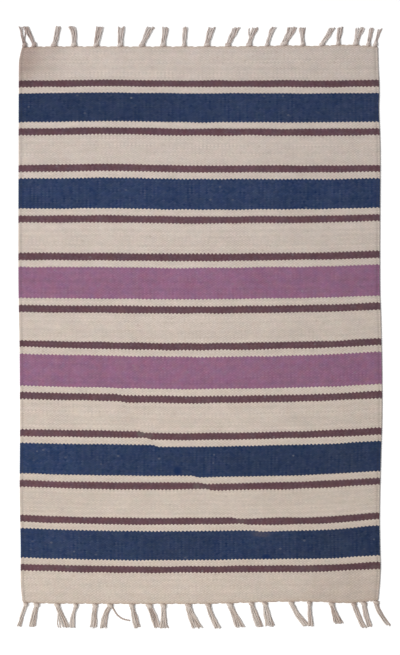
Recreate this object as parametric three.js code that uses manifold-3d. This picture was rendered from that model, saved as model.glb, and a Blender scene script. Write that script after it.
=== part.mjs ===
// A striped cotton kilim lying flat: a woven panel, and a knotted fringe along each of its two ends.
// Millimetres, +Z up. The origin is the middle of the panel's underside, and +Y runs along the warps.
import * as THREE from "three";
import { mergeVertices } from "three/addons/utils/BufferGeometryUtils.js";
import Module from "manifold-3d";

// The cloth, measured over its weave, without the fringe
const WIDTH = 600;
const LENGTH = 925;
const THICKNESS = 4;
const RIM = 1.2; // how far an edge rounds over
const RIM_STEPS = 2;
const CORNER = 5; // how far a corner is rounded off
const CORNER_STEPS = 3;
const OUTLINE_STEP = 22;

// The last picks at each end, which the knots pull tight and part from the panel
const STRIP_WIDTH = 2.7;
const STRIP_HEIGHT = 3.6;
const STRIP_SHOULDER = 1;
const STRIP_CORNER = 2; // how far the strip stops short of the weave's corner
const PARTING = 0.42; // 0.3 at its narrowest, where the two wandering lines come closest

// The fringe: strands lie side by side on the floor, each rooted in its tassel's knot
const STRAND_WIDTH = 1.5;
const STRAND_CROWN = 0.8; // width along a strand's top
const STRAND_HEIGHT = 2.2;
const STRAND_PITCH = 1.8;
const STRAND_STATIONS = [0, 0.35, 0.7, 1]; // shares of its length
const PATH_PROBE = 0.05; // how far to each side a path's heading is read
const TIP_TAPER = 0.75;
const KNOT_LENGTH = 8;
const KNOT_HEIGHT = 5.6;
const KNOT_MARGIN = 0.5; // how far a knot reaches past its outer strands
const KNOT_BITE = 1.2; // how far a knot sits into the strip
const KNOT_SIDES = 6;
const KNOT_RINGS = 5;
const FAR_REACH = { left: 33.8, right: 29.4 }; // from the weave's end to the tips
const NEAR_REACH = { left: 39.8, right: 41 };
const TRIM_UNEVENNESS = 1.8;
const MOST_STRANDS = 7; // in one tassel
const GOLDEN_STEP = (Math.sqrt(5) - 1) / 2;

// How far each edge wanders outwards, by its place along the rug or across it
const LEFT_EDGE = [
  { at: -462, out: -3.4 },
  { at: -450, out: -2.1 },
  { at: -432, out: -0.8 },
  { at: -373, out: -1 },
  { at: -274, out: 0.3 },
  { at: -174, out: -0.6 },
  { at: -41, out: -0.3 },
  { at: 58, out: 1.2 },
  { at: 150, out: 1.1 },
  { at: 291, out: 0.3 },
  { at: 400, out: -0.4 },
  { at: 437, out: -0.9 },
  { at: 450, out: -2.7 },
  { at: 462, out: -5.4 },
];
const RIGHT_EDGE = [
  { at: -462, out: -5.2 },
  { at: -450, out: -4.1 },
  { at: -434, out: -2.6 },
  { at: -409, out: -1.3 },
  { at: -376, out: -2.1 },
  { at: -325, out: -2.6 },
  { at: -243, out: -0.7 },
  { at: -143, out: 2.3 },
  { at: -10, out: 1.3 },
  { at: 56, out: -0.6 },
  { at: 189, out: 0 },
  { at: 288, out: 0.7 },
  { at: 355, out: -1.4 },
  { at: 388, out: -0.6 },
  { at: 428, out: -2 },
  { at: 462, out: -2.8 },
];
const FAR_EDGE = [
  { at: -295, out: -0.4 },
  { at: -250, out: 0.3 },
  { at: -80, out: -0.4 },
  { at: 100, out: -0.4 },
  { at: 147, out: 0.8 },
  { at: 187, out: -0.4 },
  { at: 245, out: 1.4 },
  { at: 277, out: 0 },
  { at: 295, out: -1.2 },
];
const NEAR_EDGE = [
  { at: -295, out: -3.2 },
  { at: -254, out: -1.2 },
  { at: -2, out: 0.3 },
  { at: 64, out: -1.1 },
  { at: 117, out: -2.4 },
  { at: 180, out: -3 },
  { at: 250, out: 0 },
  { at: 277, out: -2.3 },
  { at: 295, out: -4 },
];

// The tassels from left to right. at is the knot's place across the rug, lean is how far the tips lie to
// the right of it, strands is how many show, spread is the width over the tips, and bow is how far the
// tassel's middle bulges to the right of a straight line.
const FAR_TASSELS = [
  { at: -290, lean: -6, strands: 4, spread: 7.5, bow: 0 },
  { at: -274, lean: -13, strands: 4, spread: 7.5, bow: 0 },
  { at: -241, lean: 7, strands: 5, spread: 9.5, bow: 1 },
  { at: -208, lean: -4, strands: 6, spread: 12, bow: 1 },
  { at: -171, lean: 6.5, strands: 6, spread: 13, bow: 0 },
  { at: -131, lean: 2, strands: 6, spread: 12, bow: 0 },
  { at: -95, lean: 14, strands: 6, spread: 12, bow: 0 },
  { at: -60, lean: 4, strands: 5, spread: 10, bow: 0.5 },
  { at: -25, lean: 2, strands: 4, spread: 8, bow: 0 },
  { at: 13, lean: 8.5, strands: 6, spread: 12, bow: -0.5 },
  { at: 48, lean: 14, strands: 6, spread: 13, bow: 1 },
  { at: 83, lean: 10.5, strands: 5, spread: 10, bow: -0.5 },
  { at: 113, lean: 11, strands: 4, spread: 8, bow: -1 },
  { at: 141, lean: 14, strands: 6, spread: 17, bow: 1 },
  { at: 172, lean: -2, strands: 5, spread: 10, bow: 0 },
  { at: 204, lean: 17, strands: 5, spread: 10, bow: 1 },
  { at: 231, lean: 3.5, strands: 4, spread: 8, bow: 0 },
  { at: 260, lean: 10, strands: 5, spread: 12, bow: 0 },
  { at: 281, lean: 6, strands: 4, spread: 8, bow: 0 },
  { at: 292.5, lean: 9.5, strands: 4, spread: 9, bow: 0 },
];
const NEAR_TASSELS = [
  { at: -291, lean: -11, strands: 4, spread: 7.5, bow: 0 },
  { at: -273, lean: -8, strands: 6, spread: 12, bow: 0 },
  { at: -239, lean: 15, strands: 6, spread: 14, bow: 0 },
  { at: -208, lean: -6, strands: 4, spread: 7.5, bow: 0 },
  { at: -176, lean: -3, strands: 6, spread: 12, bow: 0 },
  { at: -151, lean: -11, strands: 6, spread: 12, bow: -3 },
  { at: -115, lean: 9, strands: 6, spread: 12, bow: 0 },
  { at: -86, lean: 13, strands: 5, spread: 10, bow: 0.5 },
  { at: -62.5, lean: 1, strands: 5, spread: 11, bow: 1 },
  { at: -21, lean: 15, strands: 7, spread: 19, bow: 0 },
  { at: 12, lean: 15, strands: 6, spread: 12.5, bow: 0 },
  { at: 48, lean: 17, strands: 7, spread: 19, bow: 0 },
  { at: 84, lean: 13, strands: 6, spread: 13.5, bow: 0 },
  { at: 106, lean: 9, strands: 6, spread: 17, bow: -0.5 },
  { at: 150, lean: 24, strands: 5, spread: 9.5, bow: -0.5 },
  { at: 180, lean: 3.5, strands: 4, spread: 8, bow: 0 },
  { at: 217, lean: 11, strands: 6, spread: 13, bow: 0 },
  { at: 254, lean: 16, strands: 5, spread: 10, bow: -0.5 },
  { at: 270.5, lean: 11, strands: 5, spread: 11, bow: -1 },
  { at: 291, lean: 22, strands: 5, spread: 9, bow: -4 },
];

// The near tassel that has worn shorter than the rest, its number counted from 0
const WORN_TASSEL = { number: 16, by: 6 };

// One yarn that slipped its knot at the near end and lies in a curve of its own
const STRAY_YARN = [
  { across: -148.5, beyond: 3 },
  { across: -144.5, beyond: 10.5 },
  { across: -139, beyond: 19 },
  { across: -130, beyond: 25.5 },
  { across: -118, beyond: 28.5 },
];

const COTTON = { roughness: 0.95, metalness: 0 };
const materials = {
  weave: new THREE.MeshStandardMaterial({ color: 0xcabdb0, ...COTTON }),
  fringe: new THREE.MeshStandardMaterial({ color: 0xbcaf9f, ...COTTON }),
};

const UP = new THREE.Vector3(0, 0, 1);
const wasm = await Module();
wasm.setup();

// A smooth curve through a table's rows, read at one place
function wander(rows, at) {
  const last = rows.length - 1;
  const above = rows.findIndex((row) => row.at > at);
  const k = above < 0 ? last - 1 : Math.max(above - 1, 0);
  const slope = (i) => {
    const before = rows[Math.max(i - 1, 0)];
    const after = rows[Math.min(i + 1, last)];
    return (after.out - before.out) / (after.at - before.at);
  };
  const span = rows[k + 1].at - rows[k].at;
  const t = THREE.MathUtils.clamp((at - rows[k].at) / span, 0, 1);
  const near = (1 + 2 * t) * (1 - t) ** 2 * rows[k].out + t * (1 - t) ** 2 * span * slope(k);
  const far = t * t * (3 - 2 * t) * rows[k + 1].out - t * t * (1 - t) * span * slope(k + 1);
  return near + far;
}

const leftEdge = (along) => -WIDTH / 2 - wander(LEFT_EDGE, along);
const rightEdge = (along) => WIDTH / 2 + wander(RIGHT_EDGE, along);
const farEdge = (across) => LENGTH / 2 + wander(FAR_EDGE, across);
const nearEdge = (across) => -LENGTH / 2 - wander(NEAR_EDGE, across);

// Evenly spaced values from one end to the other, no further apart than step
function evenly(from, to, step) {
  const count = Math.ceil(Math.abs(to - from) / step);
  return Array.from({ length: count + 1 }, (_, i) => from + ((to - from) * i) / count);
}

// A number from 0 to 1 for one strand of one tassel, spread evenly by steps of the golden ratio
function chance(tasselNumber, strandNumber) {
  const steps = tasselNumber * MOST_STRANDS + strandNumber + 1;
  return (steps * GOLDEN_STEP) % 1;
}

// The panel's outline: four wandering edges with a rounded corner between each two
function panelShape() {
  const endInset = STRIP_WIDTH + PARTING;
  const nearLine = (across) => nearEdge(across) + endInset;
  const farLine = (across) => farEdge(across) - endInset;
  const endY = LENGTH / 2 - endInset;
  const corners = [
    new THREE.Vector2(leftEdge(-endY), nearLine(leftEdge(-endY))),
    new THREE.Vector2(rightEdge(-endY), nearLine(rightEdge(-endY))),
    new THREE.Vector2(rightEdge(endY), farLine(rightEdge(endY))),
    new THREE.Vector2(leftEdge(endY), farLine(leftEdge(endY))),
  ];
  const acrossAt = (line) => (x) => new THREE.Vector2(x, line(x));
  const alongAt = (line) => (y) => new THREE.Vector2(line(y), y);
  const edges = [
    evenly(corners[0].x + CORNER, corners[1].x - CORNER, OUTLINE_STEP).map(acrossAt(nearLine)),
    evenly(corners[1].y + CORNER, corners[2].y - CORNER, OUTLINE_STEP).map(alongAt(rightEdge)),
    evenly(corners[2].x - CORNER, corners[3].x + CORNER, OUTLINE_STEP).map(acrossAt(farLine)),
    evenly(corners[3].y - CORNER, corners[0].y + CORNER, OUTLINE_STEP).map(alongAt(leftEdge)),
  ];
  const shape = new THREE.Shape();
  shape.moveTo(edges[0][0].x, edges[0][0].y);
  edges.forEach((edge, i) => {
    edge.slice(1).forEach((point) => shape.lineTo(point.x, point.y));
    const corner = corners[(i + 1) % 4];
    const next = edges[(i + 1) % 4][0];
    shape.quadraticCurveTo(corner.x, corner.y, next.x, next.y);
  });
  return shape;
}

function panelGeometry() {
  const geometry = new THREE.ExtrudeGeometry(panelShape(), {
    depth: THICKNESS - 2 * RIM,
    curveSegments: CORNER_STEPS,
    bevelThickness: RIM,
    bevelSize: RIM,
    bevelOffset: -RIM,
    bevelSegments: RIM_STEPS,
  });
  return geometry.translate(0, 0, RIM);
}

// A closed tube through a row of rings that list the same corners in the same order
function tube(rings) {
  const corners = rings[0].length;
  const last = (rings.length - 1) * corners;
  const index = [];
  for (let start = 0; start < last; start += corners) {
    for (let corner = 0; corner < corners; corner++) {
      const a = start + corner;
      const b = start + ((corner + 1) % corners);
      index.push(a, a + corners, b, b, a + corners, b + corners);
    }
  }
  for (let corner = 2; corner < corners; corner++) {
    index.push(0, corner - 1, corner);
    index.push(last, last + corner, last + corner - 1);
  }
  return new THREE.BufferGeometry().setFromPoints(rings.flat()).setIndex(index);
}

// Carries a section along a level path. A section's corners are [sideways, up], sideways to the path's
// right, and sectionAt gives the section at each of the path's points.
function sweep(path, sectionAt) {
  const rings = path.map((point, i) => {
    const before = path[Math.max(i - 1, 0)];
    const after = path[Math.min(i + 1, path.length - 1)];
    const side = after.clone().sub(before).cross(UP).normalize();
    return sectionAt(i).map(([sideways, up]) =>
      point.clone().addScaledVector(side, sideways).addScaledVector(UP, up),
    );
  });
  return tube(rings);
}

// The section of a strand: flat on the floor, and narrower on top
function strandSection(size) {
  const half = (STRAND_WIDTH / 2) * size;
  const crown = (STRAND_CROWN / 2) * size;
  const height = STRAND_HEIGHT * size;
  return [
    [-half, 0],
    [half, 0],
    [crown, height],
    [-crown, height],
  ];
}

function strand(path) {
  const tip = path.length - 1;
  return sweep(path, (i) => strandSection(i === tip ? TIP_TAPER : 1));
}

// The strip along one end of the weave, its outer shoulder sloping down to the knots
function strip(end) {
  const endY = (end.side * LENGTH) / 2;
  const left = leftEdge(endY) + STRIP_CORNER;
  const right = rightEdge(endY) - STRIP_CORNER;
  const across = end.side > 0 ? evenly(right, left, OUTLINE_STEP) : evenly(left, right, OUTLINE_STEP);
  const path = across.map((x) => new THREE.Vector3(x, end.edge(x), 0));
  return sweep(path, () => [
    [-STRIP_WIDTH, 0],
    [0, 0],
    [0, STRIP_HEIGHT - STRIP_SHOULDER],
    [-STRIP_SHOULDER, STRIP_HEIGHT],
    [-STRIP_WIDTH, STRIP_HEIGHT],
  ]);
}

// A knot is a rounded lump that sits on the floor
function knotGeometry(tassel, middle) {
  const width = tassel.strands * STRAND_PITCH + 2 * KNOT_MARGIN;
  const geometry = new THREE.SphereGeometry(0.5, KNOT_SIDES, KNOT_RINGS);
  geometry.scale(width, KNOT_LENGTH, KNOT_HEIGHT).computeBoundingBox();
  return geometry.translate(middle.x, middle.y, -geometry.boundingBox.min.z);
}

// Where a tassel's middle line runs, t from 0 at the knot's middle to 1 at the tips
function tasselLine(tassel, end, middle, reach) {
  const across = (t) => middle.x + tassel.lean * t + tassel.bow * 4 * t * (1 - t);
  return (t) => new THREE.Vector3(across(t), middle.y + end.side * reach * t, 0);
}

// One strand of a tassel, place steps to the side of the middle line and trimmed at its own length
function strandPath(line, place, tipPitch, length, end) {
  return STRAND_STATIONS.map((station) => {
    const t = station * length;
    const heading = line(t + PATH_PROBE).sub(line(t - PATH_PROBE));
    const side = heading.cross(UP).normalize().multiplyScalar(end.side);
    return line(t).addScaledVector(side, place * THREE.MathUtils.lerp(STRAND_PITCH, tipPitch, t));
  });
}

function tasselGeometries(tassel, number, end) {
  const knotOut = KNOT_LENGTH / 2 - KNOT_BITE;
  const fromLeft = tassel.at / WIDTH + 0.5;
  const worn = end.worn?.number === number ? end.worn.by : 0;
  const reach = THREE.MathUtils.lerp(end.reach.left, end.reach.right, fromLeft) - knotOut - worn;
  const middle = new THREE.Vector3(tassel.at, end.edge(tassel.at) + end.side * knotOut, 0);
  const line = tasselLine(tassel, end, middle, reach);
  const tipPitch = (tassel.spread - STRAND_WIDTH) / (tassel.strands - 1);
  const pieces = [knotGeometry(tassel, middle)];
  for (let i = 0; i < tassel.strands; i++) {
    const place = i - (tassel.strands - 1) / 2;
    const length = 1 + ((2 * chance(number, i) - 1) * TRIM_UNEVENNESS) / reach;
    pieces.push(strand(strandPath(line, place, tipPitch, length, end)));
  }
  return pieces;
}

function strayGeometry(end) {
  const path = STRAY_YARN.map(
    ({ across, beyond }) => new THREE.Vector3(across, end.edge(across) + end.side * beyond, 0),
  );
  return strand(path);
}

// A geometry as a solid that can be joined to others, its doubled vertices merged first
function solidOf(geometry) {
  const bare = new THREE.BufferGeometry().setAttribute("position", geometry.getAttribute("position"));
  bare.setIndex(geometry.index);
  const merged = mergeVertices(bare);
  return new wasm.Manifold(
    new wasm.Mesh({
      numProp: 3,
      vertProperties: merged.attributes.position.array,
      triVerts: new Uint32Array(merged.index.array),
    }),
  );
}

function geometryOf(solid) {
  const { vertProperties, triVerts } = solid.getMesh();
  return new THREE.BufferGeometry()
    .setAttribute("position", new THREE.BufferAttribute(vertProperties, 3))
    .setIndex(new THREE.BufferAttribute(triVerts, 1));
}

function fringeGeometry(end) {
  const tassels = end.tassels.flatMap((tassel, number) => tasselGeometries(tassel, number, end));
  const pieces = [strip(end), ...tassels];
  if (end.stray) pieces.push(strayGeometry(end));
  return geometryOf(pieces.map(solidOf).reduce((whole, piece) => whole.add(piece)));
}

function part(name, geometry, material) {
  geometry.computeVertexNormals();
  const mesh = new THREE.Mesh(geometry, material);
  mesh.name = name;
  return mesh;
}

const farEnd = { side: 1, edge: farEdge, reach: FAR_REACH, tassels: FAR_TASSELS };
const nearEnd = {
  side: -1,
  edge: nearEdge,
  reach: NEAR_REACH,
  tassels: NEAR_TASSELS,
  worn: WORN_TASSEL,
  stray: true,
};

const rug = new THREE.Group();
rug.add(part("woven_panel", panelGeometry(), materials.weave));
rug.add(part("fringe_far", fringeGeometry(farEnd), materials.fringe));
rug.add(part("fringe_near", fringeGeometry(nearEnd), materials.fringe));

export default rug;
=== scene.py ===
# A striped cotton kilim lying flat: one woven panel, and its warp ends knotted into a fringe at each end.
# Metres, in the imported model's frame: +X across the rug, +Y along its warps, +Z up from the floor.
import bpy
import math
import numpy as np
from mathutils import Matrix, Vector


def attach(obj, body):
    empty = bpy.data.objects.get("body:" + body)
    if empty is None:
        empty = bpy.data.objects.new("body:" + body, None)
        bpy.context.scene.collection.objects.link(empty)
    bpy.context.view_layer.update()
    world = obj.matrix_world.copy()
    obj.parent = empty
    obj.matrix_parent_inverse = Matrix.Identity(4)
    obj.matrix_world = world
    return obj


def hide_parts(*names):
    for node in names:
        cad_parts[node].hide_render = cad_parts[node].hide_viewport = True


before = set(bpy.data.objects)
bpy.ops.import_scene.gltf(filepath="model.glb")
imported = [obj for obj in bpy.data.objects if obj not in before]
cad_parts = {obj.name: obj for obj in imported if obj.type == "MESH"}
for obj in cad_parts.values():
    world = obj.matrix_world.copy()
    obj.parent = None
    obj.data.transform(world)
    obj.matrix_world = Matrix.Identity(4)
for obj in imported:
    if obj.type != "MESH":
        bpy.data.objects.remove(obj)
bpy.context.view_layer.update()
mm = 0.001

# How far each edge of the weave wanders outwards (mm), by its place along the rug or across it: (at, out)
edges = {
    "left": [(-462, -3.4), (-450, -2.1), (-432, -0.8), (-373, -1), (-274, 0.3), (-174, -0.6), (-41, -0.3),
             (58, 1.2), (150, 1.1), (291, 0.3), (400, -0.4), (437, -0.9), (450, -2.7), (462, -5.4)],
    "right": [(-462, -5.2), (-450, -4.1), (-434, -2.6), (-409, -1.3), (-376, -2.1), (-325, -2.6),
              (-243, -0.7), (-143, 2.3), (-10, 1.3), (56, -0.6), (189, 0), (288, 0.7), (355, -1.4),
              (388, -0.6), (428, -2), (462, -2.8)],
    "far": [(-295, -0.4), (-250, 0.3), (-80, -0.4), (100, -0.4), (147, 0.8), (187, -0.4), (245, 1.4),
            (277, 0), (295, -1.2)],
    "near": [(-295, -3.2), (-254, -1.2), (-2, 0.3), (64, -1.1), (117, -2.4), (180, -3), (250, 0), (277, -2.3),
             (295, -4)],
}

panel = {
    "width": 600 * mm,
    "length": 925 * mm,
    "thickness": 4 * mm,
    "warps": 193,
    "picks": 486,
    "beadRelief": 0.6 * mm,  # from the crown of a weft bead down to the crossing beside it
    "rim": [(-0.5, 0.42), (-0.3, 0.8)],  # yarns beyond the last one, and the share of the thickness there
    "underside": [191.8, 128, 64, 0.2],  # the warps that carry the flat underside, right to left
    "scallop": 0.25 * mm,  # where the weft turns back at a selvedge
    "cord": [(0, 0.15), (1, -0.4)],  # a doubled last warp and the groove beside it: (warps in, rise in mm)
    "cornerRound": 3.5 * mm,
    "cornerFade": 6,  # within how many such radii of the end the rows bend
    "pickJitter": 0.12 * mm,
    "pickWaver": (5, 9, 0.3 * mm),  # how the picks waver: every so many picks and warps, by how much
    "warpWaver": (14, 2, 0.22 * mm),
    "ownEnds": (-416 * mm, 409 * mm),  # beyond these places the picks follow the weave's own ends
    # Soft waves in the rug: how high they are, how long over 2 pi, and the slower ones that bend two of them
    "rumple": 0.3 * mm,
    "waves": {"across": 43 * mm, "along": 31 * mm, "aslant": 71 * mm},
    "bends": {"across": (2.0, 90 * mm), "along": (1.5, 120 * mm)},  # (radians, length)
    "bakeMargin": 0.01,
    "bakeUnder": (0.68, 0.3),  # where the underside starts in the bake's map, and how wide it is there
    "seed": 11,
}

# How the beating has moved the picks off an even spacing (mm), by their place along the rug: how far up the
# middle went, how much higher both sides are, how far the right side is raised and the left one lowered,
# and how far the middle of each half is lifted
strayed = {
    "middle": [(-416, 2), (-330, -4), (-262, -7), (-190, -6.5), (-115, -6), (-45, -2), (24, -2.2), (42, -0.8),
               (105, 1.5), (180, 3), (255, 4), (325, 4), (394, 1), (409, 0)],
    "sides": [(-416, 5), (-330, 8), (-190, 6.5), (-45, 7.5), (30, 4.5), (180, 3), (255, 1), (409, 0.5)],
    "tilt": [(-416, 0.3), (-330, 2), (-190, 2), (-100, 0.5), (105, 0.8), (250, -0.8), (409, -0.3)],
    "leftHalf": [(-416, -0.5), (-262, 0), (-190, 0.7), (105, 1), (200, 2), (325, 2), (409, 1.5)],
    "rightHalf": [(-416, -1.5), (-340, -2.2), (-262, -0.8), (409, -0.8)],
}

# A slip in the weave that drifts to the right on its way down: left of it the picks lie higher, and beside
# its lower end they are pushed down (mm)
slip = {
    "rows": [(-372, 112, 0), (-341, 95, 1.6), (-320, 58, 2.2), (-268, 15, 2.4), (-250, -3, 2.6),
             (-200, -70, 3.1), (-189, -80, 3.3), (-178, -94, 3.3), (-112, -136, 1.8),
             (-95, -141, 0)],  # (along, across, rise)
    "halfWidth": 6,
    "dip": (116, -336, 60, 16, -1.8),  # (across, along, halfWidth, halfHeight, rise)
}


# Curves and meshes

def smoothCurve(knots, values, at):
    # A cubic between each two knots, whose slope at a knot is that of the line between its neighbours
    knots, values, at = np.asarray(knots, float), np.asarray(values, float), np.asarray(at, float)
    last = len(knots) - 1
    before, after = np.maximum(np.arange(last + 1) - 1, 0), np.minimum(np.arange(last + 1) + 1, last)
    wide = (slice(None),) + (None,) * (values.ndim - 1)
    slopes = (values[after] - values[before]) / (knots[after] - knots[before])[wide]
    k = np.clip(np.searchsorted(knots, at, side="right") - 1, 0, last - 1)
    span = (knots[k + 1] - knots[k])[(...,) + (None,) * (values.ndim - 1)]
    t = np.clip((at - knots[k])[(...,) + (None,) * (values.ndim - 1)] / span, 0, 1)
    start = (1 + 2 * t) * (1 - t) ** 2 * values[k] + t * (1 - t) ** 2 * span * slopes[k]
    return start + t * t * (3 - 2 * t) * values[k + 1] - t * t * (1 - t) * span * slopes[k + 1]


def wander(rows, at):
    # A table of places and values in mm, read as one smooth curve in metres
    places, values = np.array(rows).T
    return smoothCurve(places, values, np.asarray(at) / mm) * mm


def ease(t):
    t = np.clip(t, 0, 1)
    return t * t * (3 - 2 * t)


def farEdge(across):
    return panel["length"] / 2 + wander(edges["far"], across)


def nearEdge(across):
    return -panel["length"] / 2 - wander(edges["near"], across)


def makePiece(name, points, faces, maps, material):
    # A mesh from whole arrays: faces has one row of corners for each face, maps one (u, v) for each corner
    mesh = bpy.data.meshes.new(name)
    mesh.vertices.add(len(points))
    mesh.vertices.foreach_set("co", np.ascontiguousarray(points, np.float32).ravel())
    mesh.loops.add(faces.size)
    mesh.loops.foreach_set("vertex_index", np.ascontiguousarray(faces, np.int32).ravel())
    mesh.polygons.add(len(faces))
    mesh.polygons.foreach_set("loop_start", np.arange(0, faces.size, faces.shape[1], dtype=np.int32))
    mesh.update(calc_edges=True)
    for mapName, corners in maps.items():
        layer = mesh.uv_layers.new(name=mapName, do_init=False)
        layer.uv.foreach_set("vector", np.ascontiguousarray(corners, np.float32).ravel())
    mesh.shade_smooth()
    mesh.materials.append(material)
    piece = bpy.data.objects.new(name, mesh)
    bpy.context.scene.collection.objects.link(piece)
    return piece


# Materials

def colour(red, green, blue):
    # A colour as seen on screen, 0 to 255, made linear
    seen = np.array([red, green, blue]) / 255
    return (*np.where(seen > 0.04045, ((seen + 0.055) / 1.055) ** 2.4, seen / 12.92), 1.0)


def feed(tree, socket, value):
    if isinstance(value, bpy.types.NodeSocket):
        tree.links.new(value, socket)
    else:
        socket.default_value = value


def calc(tree, operation, *values):
    node = tree.nodes.new("ShaderNodeMath")
    node.operation = operation
    for socket, value in zip(node.inputs, values):
        feed(tree, socket, value)
    return node.outputs[0]


def times(tree, first, second):
    return calc(tree, "MULTIPLY", first, second)


def minus(tree, first, second):
    return calc(tree, "SUBTRACT", first, second)


def blend(tree, share, first, second, way="MIX"):
    node = tree.nodes.new("ShaderNodeMix")
    node.data_type = "RGBA"
    node.blend_type = way
    feed(tree, node.inputs["Factor"], share)
    feed(tree, node.inputs[6], first)  # the two inputs that are colours
    feed(tree, node.inputs[7], second)
    return node.outputs[2]


def vector(tree, x, y, z=0.0):
    node = tree.nodes.new("ShaderNodeCombineXYZ")
    for socket, value in zip(node.inputs, (x, y, z)):
        feed(tree, socket, value)
    return node.outputs[0]


def shaded(tree, share, paint, shade):
    # The colour made brighter or darker by one factor
    return blend(tree, share, paint, vector(tree, shade, shade, shade), "MULTIPLY")


def split(tree, place):
    node = tree.nodes.new("ShaderNodeSeparateXYZ")
    tree.links.new(place, node.inputs[0])
    return node.outputs[:2]


def spread(tree, value, low, high, toLow, toHigh):
    # Carries a range of values over to another one, with soft ends
    node = tree.nodes.new("ShaderNodeMapRange")
    node.interpolation_type = "SMOOTHSTEP"
    for socket, number in zip(node.inputs, (value, low, high, toLow, toHigh)):
        feed(tree, socket, number)
    return node.outputs[0]


def noise(tree, place, scale, detail=2.0):
    node = tree.nodes.new("ShaderNodeTexNoise")
    feed(tree, node.inputs["Vector"], place)
    node.inputs["Scale"].default_value = scale
    node.inputs["Detail"].default_value = detail
    return node.outputs["Fac"]


def speckle(tree, place):
    # One random number for each whole-numbered place
    node = tree.nodes.new("ShaderNodeTexWhiteNoise")
    node.noise_dimensions = "2D"
    feed(tree, node.inputs["Vector"], place)
    return node.outputs["Value"]


def onObject(tree):
    return tree.nodes.new("ShaderNodeTexCoord").outputs["Object"]


def readMap(tree, name):
    node = tree.nodes.new("ShaderNodeUVMap")
    node.uv_map = name
    return split(tree, node.outputs[0])


def bump(tree, height, strength, distance):
    node = tree.nodes.new("ShaderNodeBump")
    node.inputs["Strength"].default_value = strength
    node.inputs["Distance"].default_value = distance
    feed(tree, node.inputs["Height"], height)
    return node.outputs[0]


cotton = {"specular": 0.2, "sheen": 0.12, "sheenRoughness": 0.6}


def cottonMaterial(name, roughness):
    material = bpy.data.materials.new(name)
    material.use_nodes = True
    shader = material.node_tree.nodes["Principled BSDF"]
    shader.inputs["Roughness"].default_value = roughness
    shader.inputs["Specular IOR Level"].default_value = cotton["specular"]
    shader.inputs["Sheen Weight"].default_value = cotton["sheen"]
    shader.inputs["Sheen Roughness"].default_value = cotton["sheenRoughness"]
    return material, material.node_tree, shader


dyes = {
    "cream": colour(203, 189, 178),
    "brown": colour(98, 70, 77),
    "navy": colour(40, 55, 87),
    "mauve": colour(142, 100, 127),
    "endPicks": 26,  # cream picks before the first stripe
    "unit": 76,  # picks from one stripe group to the next
    "bands": [(0, "brown", 1.0), (6, "cream", 0.955), (12, "wide", 1.018), (38, "cream", 0.955),
              (44, "brown", 1.0), (50, "cream", 1.0)],  # (first pick, dye, thickness of a pick)
    "units": 6,
    "mauveUnits": (2.5, 0.6),  # the middle two, counted from 0: their mean, and how far off they may be
    "darkness": (0.3, 0.45, 1.0, 0.0),  # below the first brightness a dye is dark, above the second cream
}

# Places with a look of their own, in mm: (across, along, halfWidth, halfHeight, share). The flecks all have
# the same size.
marks = {
    "joins": [(-98, -180, 10, 8, 1.0), (-84, -184, 9, 6, 0.7), (-6, -268, 8, 7, 0.9), (9, -271, 11, 6, 0.5),
              (67, -326, 11, 6, 0.6), (101, -347, 20, 8, 0.4), (180, -406, 30, 7, 0.3),
              (291, -403, 9, 5, 0.3), (-221, -399.5, 6, 4.5, 1.0)],  # a new weft greys the stripe
    "stains": [(-38, -242, 9, 11, 1.0), (109, -385, 11, 5, 1.0)],  # the navy took more dye
    "flecks": [(-112.5, 377.2, 0.45), (23, -215.7, 0.2), (21.5, -229.3, 0.17), (-271, -209, 0.22),
               (154.5, -217.5, 0.27), (-210, -375.5, 0.25), (288, -357, 0.2)],  # pale lint
    "fleckSize": (2.4, 2),
    "darkPatches": [(-297, 452, 100, 74, 0.6), (-300, 452, 48, 70, 1.0), (258, -456, 130, 72, 0.4)],
    "faded": [(-200, 360, 240, 70, -0.12), (30, 217, 600, 70, 0.09), (-260, -226, 90, 70, 0.16),
              (180, -226, 260, 70, -0.11), (-260, -365, 90, 70, 0.1), (-40, -365, 90, 70, -0.1),
              (230, -365, 140, 70, -0.12)],  # dark dyes only, and deeper with a share below 0
    "core": 0.35,  # how much of its half width or height a mark fills before it fades out
}

markColours = {
    "joins": colour(104, 92, 90),
    "stains": colour(6, 36, 78),
    "flecks": colour(150, 150, 154),
    "neps": colour(150, 130, 118),
    "darkPatches": (0.8, 0.75, 0.74, 1),  # a factor, as are the next three
    "lastPicks": (0.98, 0.94, 0.89, 1),
    "nearEnd": (1.005, 1.0, 0.975, 1),
    "farEnd": (0.995, 1.0, 1.02, 1),
}

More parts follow.
